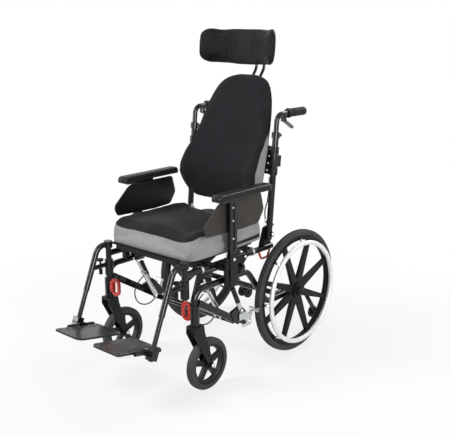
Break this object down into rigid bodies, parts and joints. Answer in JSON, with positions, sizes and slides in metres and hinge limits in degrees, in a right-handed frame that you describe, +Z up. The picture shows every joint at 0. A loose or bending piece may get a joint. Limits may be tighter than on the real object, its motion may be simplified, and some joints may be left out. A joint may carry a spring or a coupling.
{
  "type": "tilt in space wheelchair",
  "caption": "Manual wheelchair whose whole seat tilts back in its frame, with contoured cushions, headrest, height-adjustable armrests, swing-away footrests, wheel locks and anti-tippers",
  "frame": {"origin": "on the floor, under the middle of the chair's box", "axes": "+Z up, -Y is the front, +X is the sitter's left"},
  "size_m": [0.617, 1.1432, 1.3119],
  "materials": {
    "tyre": "matt",
    "rim_black": "satin",
    "handrim_silver": "satin",
    "frame_black": "gloss",
    "fork_black": "satin",
    "red": "gloss",
    "steel": "polished",
    "zinc": "satin",
    "pan_black": "satin",
    "cushion_black": "woven",
    "pad_black": "soft skin",
    "rubber_black": "matt",
    "plate_grey": "satin"
  },
  "bodies": {
    "base": {"side_frame_left": "frame_black", "side_frame_right": "frame_black", "lower_bars": "frame_black", "cross_tubes": "frame_black", "front_tie_downs": "red"},
    "seat": {"seat_rails": "frame_black", "seat_pan": "pan_black", "seat_brackets": "pan_black", "seat_cushion": "cushion_black", "armrest_sockets": "frame_black", "rear_tie_downs": "red"},
    "back": {"back_canes": "frame_black", "back_mounts": "pan_black", "back_shell": "pan_black", "back_cushion": "cushion_black", "release_cables": "rubber_black"},
    "head_stalk": {"headrest_stalk": "frame_black"},
    "head_pad": {"headrest_pad": "cushion_black"},
    "rear_wheel_left": {"rear_tyre_left": "tyre", "rear_rim_left": "rim_black", "handrim_left": "handrim_silver"},
    "caster_fork_left": {"caster_fork_left": "fork_black"},
    "caster_wheel_left": {"caster_wheel_left": "rim_black"},
    "anti_tip_arm_left": {"anti_tip_arm_left": "frame_black"},
    "anti_tip_roller_left": {"anti_tip_roller_left": "rubber_black"},
    "gas_cylinder_left": {"gas_cylinder_left": "steel", "release_loop_left": "rubber_black"},
    "gas_rod_left": {"gas_rod_left": "steel"},
    "lock_lever_left": {"lock_lever_left": "rubber_black"},
    "lock_shoe_left": {"lock_shoe_left": "zinc"},
    "hanger_left": {"hanger_tube_left": "frame_black"},
    "hanger_latch_left": {"hanger_latch_left": "pan_black"},
    "footrest_left": {"hanger_extension_left": "frame_black"},
    "footplate_left": {"footplate_left": "plate_grey"},
    "armrest_left": {"armrest_post_left": "frame_black", "armrest_pad_left": "pad_black", "side_guard_left": "pan_black"},
    "push_handle_left": {"push_handle_left": "rubber_black"},
    "tilt_lever_left": {"tilt_lever_left": "rubber_black"},
    "rear_wheel_right": {"rear_tyre_right": "tyre", "rear_rim_right": "rim_black", "handrim_right": "handrim_silver"},
    "caster_fork_right": {"caster_fork_right": "fork_black"},
    "caster_wheel_right": {"caster_wheel_right": "rim_black"},
    "anti_tip_arm_right": {"anti_tip_arm_right": "frame_black"},
    "anti_tip_roller_right": {"anti_tip_roller_right": "rubber_black"},
    "gas_cylinder_right": {"gas_cylinder_right": "steel", "release_loop_right": "rubber_black"},
    "gas_rod_right": {"gas_rod_right": "steel"},
    "lock_lever_right": {"lock_lever_right": "rubber_black"},
    "lock_shoe_right": {"lock_shoe_right": "zinc"},
    "hanger_right": {"hanger_tube_right": "frame_black"},
    "hanger_latch_right": {"hanger_latch_right": "pan_black"},
    "footrest_right": {"hanger_extension_right": "frame_black"},
    "footplate_right": {"footplate_right": "plate_grey"},
    "armrest_right": {"armrest_post_right": "frame_black", "armrest_pad_right": "pad_black", "side_guard_right": "pan_black"},
    "push_handle_right": {"push_handle_right": "rubber_black"},
    "tilt_lever_right": {"tilt_lever_right": "rubber_black"}
  },
  "joints": [
    {"name": "seat_tilt", "type": "hinge", "parent": "base", "child": "seat", "pos_m": [0, 0.00258, 0.427], "axis": [-1, 0, 0], "range_deg": [0, 45]},
    {"name": "back_recline", "type": "hinge", "parent": "seat", "child": "back", "pos_m": [0, 0.18908, 0.515], "axis": [-1, 0, 0], "range_deg": [0, 15]},
    {"name": "headrest_height", "type": "slide", "parent": "back", "child": "head_stalk", "axis": [0, 0.2588, 0.9659], "range_m": [0, 0.08]},
    {"name": "headrest_tilt", "type": "hinge", "parent": "head_stalk", "child": "head_pad", "pos_m": [0, 0.33908, 1.229], "axis": [1, 0, 0], "range_deg": [-20, 20]},
    {"name": "rear_wheel_spin_left", "type": "hinge", "parent": "base", "child": "rear_wheel_left", "pos_m": [0.263, 0.31258, 0.255], "axis": [1, 0, 0], "continuous": true},
    {"name": "caster_swivel_left", "type": "hinge", "parent": "base", "child": "caster_fork_left", "pos_m": [0.236, -0.25742, 0.3], "axis": [0, 0, 1], "continuous": true},
    {"name": "caster_spin_left", "type": "hinge", "parent": "caster_fork_left", "child": "caster_wheel_left", "pos_m": [0.236, -0.19642, 0.1], "axis": [1, 0, 0], "continuous": true},
    {"name": "anti_tip_turn_left", "type": "hinge", "parent": "base", "child": "anti_tip_arm_left", "pos_m": [0.205, 0.31258, 0.24], "axis": [0, 1, 0], "range_deg": [0, 180]},
    {"name": "anti_tip_roll_left", "type": "hinge", "parent": "anti_tip_arm_left", "child": "anti_tip_roller_left", "pos_m": [0.205, 0.54458, 0.072], "axis": [1, 0, 0], "continuous": true},
    {"name": "gas_cylinder_swing_left", "type": "hinge", "parent": "base", "child": "gas_cylinder_left", "pos_m": [0.18, -0.05242, 0.222], "axis": [-1, 0, 0], "range_deg": [-1, 20]},
    {"name": "gas_rod_swing_left", "type": "hinge", "parent": "seat", "child": "gas_rod_left", "pos_m": [0.18, -0.16542, 0.418], "axis": [-1, 0, 0], "range_deg": [-30, 1]},
    {"name": "lock_lever_turn_left", "type": "hinge", "parent": "base", "child": "lock_lever_left", "pos_m": [0.252, -0.02242, 0.262], "axis": [1, 0, 0], "range_deg": [0, 36]},
    {"name": "lock_shoe_turn_left", "type": "hinge", "parent": "base", "child": "lock_shoe_left", "pos_m": [0.252, 0.02558, 0.205], "axis": [1, 0, 0], "range_deg": [-10, 0.5]},
    {"name": "hanger_swing_left", "type": "hinge", "parent": "seat", "child": "hanger_left", "pos_m": [0.207, -0.27742, 0.43], "axis": [0, 0, 1], "range_deg": [0, 90]},
    {"name": "latch_press_left", "type": "slide", "parent": "hanger_left", "child": "hanger_latch_left", "axis": [0, 0, -1], "range_m": [0, 0.008], "stiffness_N_per_m": 300, "springref_m": -0.002},
    {"name": "footrest_length_left", "type": "slide", "parent": "hanger_left", "child": "footrest_left", "axis": [0, -0.3795, -0.9252], "range_m": [0, 0.08]},
    {"name": "footplate_flip_left", "type": "hinge", "parent": "footrest_left", "child": "footplate_left", "pos_m": [0.184, -0.44342, 0.215], "axis": [0, 0.9806, -0.1959], "range_deg": [0, 85]},
    {"name": "armrest_height_left", "type": "slide", "parent": "seat", "child": "armrest_left", "axis": [0, 0, 1], "range_m": [0, 0.09]},
    {"name": "push_handle_height_left", "type": "slide", "parent": "back", "child": "push_handle_left", "axis": [0, 0.0941, 0.9956], "range_m": [0, 0.08]},
    {"name": "tilt_lever_squeeze_left", "type": "hinge", "parent": "push_handle_left", "child": "tilt_lever_left", "pos_m": [0.218, 0.27458, 0.957], "axis": [1, 0, 0], "range_deg": [0, 18], "stiffness_Nm_per_rad": 0.6, "springref_deg": -20.05},
    {"name": "rear_wheel_spin_right", "type": "hinge", "parent": "base", "child": "rear_wheel_right", "pos_m": [-0.263, 0.31258, 0.255], "axis": [1, 0, 0], "continuous": true},
    {"name": "caster_swivel_right", "type": "hinge", "parent": "base", "child": "caster_fork_right", "pos_m": [-0.236, -0.25742, 0.3], "axis": [0, 0, 1], "continuous": true},
    {"name": "caster_spin_right", "type": "hinge", "parent": "caster_fork_right", "child": "caster_wheel_right", "pos_m": [-0.236, -0.19642, 0.1], "axis": [1, 0, 0], "continuous": true},
    {"name": "anti_tip_turn_right", "type": "hinge", "parent": "base", "child": "anti_tip_arm_right", "pos_m": [-0.205, 0.31258, 0.24], "axis": [0, -1, 0], "range_deg": [0, 180]},
    {"name": "anti_tip_roll_right", "type": "hinge", "parent": "anti_tip_arm_right", "child": "anti_tip_roller_right", "pos_m": [-0.205, 0.54458, 0.072], "axis": [1, 0, 0], "continuous": true},
    {"name": "gas_cylinder_swing_right", "type": "hinge", "parent": "base", "child": "gas_cylinder_right", "pos_m": [-0.18, -0.05242, 0.222], "axis": [-1, 0, 0], "range_deg": [-1, 20]},
    {"name": "gas_rod_swing_right", "type": "hinge", "parent": "seat", "child": "gas_rod_right", "pos_m": [-0.18, -0.16542, 0.418], "axis": [-1, 0, 0], "range_deg": [-30, 1]},
    {"name": "lock_lever_turn_right", "type": "hinge", "parent": "base", "child": "lock_lever_right", "pos_m": [-0.252, -0.02242, 0.262], "axis": [1, 0, 0], "range_deg": [0, 36]},
    {"name": "lock_shoe_turn_right", "type": "hinge", "parent": "base", "child": "lock_shoe_right", "pos_m": [-0.252, 0.02558, 0.205], "axis": [1, 0, 0], "range_deg": [-10, 0.5]},
    {"name": "hanger_swing_right", "type": "hinge", "parent": "seat", "child": "hanger_right", "pos_m": [-0.207, -0.27742, 0.43], "axis": [0, 0, -1], "range_deg": [0, 90]},
    {"name": "latch_press_right", "type": "slide", "parent": "hanger_right", "child": "hanger_latch_right", "axis": [0, 0, -1], "range_m": [0, 0.008], "stiffness_N_per_m": 300, "springref_m": -0.002},
    {"name": "footrest_length_right", "type": "slide", "parent": "hanger_right", "child": "footrest_right", "axis": [0, -0.3795, -0.9252], "range_m": [0, 0.08]},
    {"name": "footplate_flip_right", "type": "hinge", "parent": "footrest_right", "child": "footplate_right", "pos_m": [-0.184, -0.44342, 0.215], "axis": [0, -0.9806, 0.1959], "range_deg": [0, 85]},
    {"name": "armrest_height_right", "type": "slide", "parent": "seat", "child": "armrest_right", "axis": [0, 0, 1], "range_m": [0, 0.09]},
    {"name": "push_handle_height_right", "type": "slide", "parent": "back", "child": "push_handle_right", "axis": [0, 0.0941, 0.9956], "range_m": [0, 0.08]},
    {"name": "tilt_lever_squeeze_right", "type": "hinge", "parent": "push_handle_right", "child": "tilt_lever_right", "pos_m": [-0.218, 0.27458, 0.957], "axis": [1, 0, 0], "range_deg": [0, 18], "stiffness_Nm_per_rad": 0.6, "springref_deg": -20.05}
  ],
  "couplings": [
    {"joint": "gas_cylinder_swing_left", "follows": "seat_tilt", "ratio": 0.383},
    {"joint": "gas_rod_swing_left", "follows": "seat_tilt", "ratio": -0.617},
    {"joint": "lock_shoe_turn_left", "follows": "lock_lever_turn_left", "ratio": -0.264},
    {"joint": "gas_cylinder_swing_right", "follows": "seat_tilt", "ratio": 0.383},
    {"joint": "gas_rod_swing_right", "follows": "seat_tilt", "ratio": -0.617},
    {"joint": "lock_shoe_turn_right", "follows": "lock_lever_turn_right", "ratio": -0.264}
  ]
}
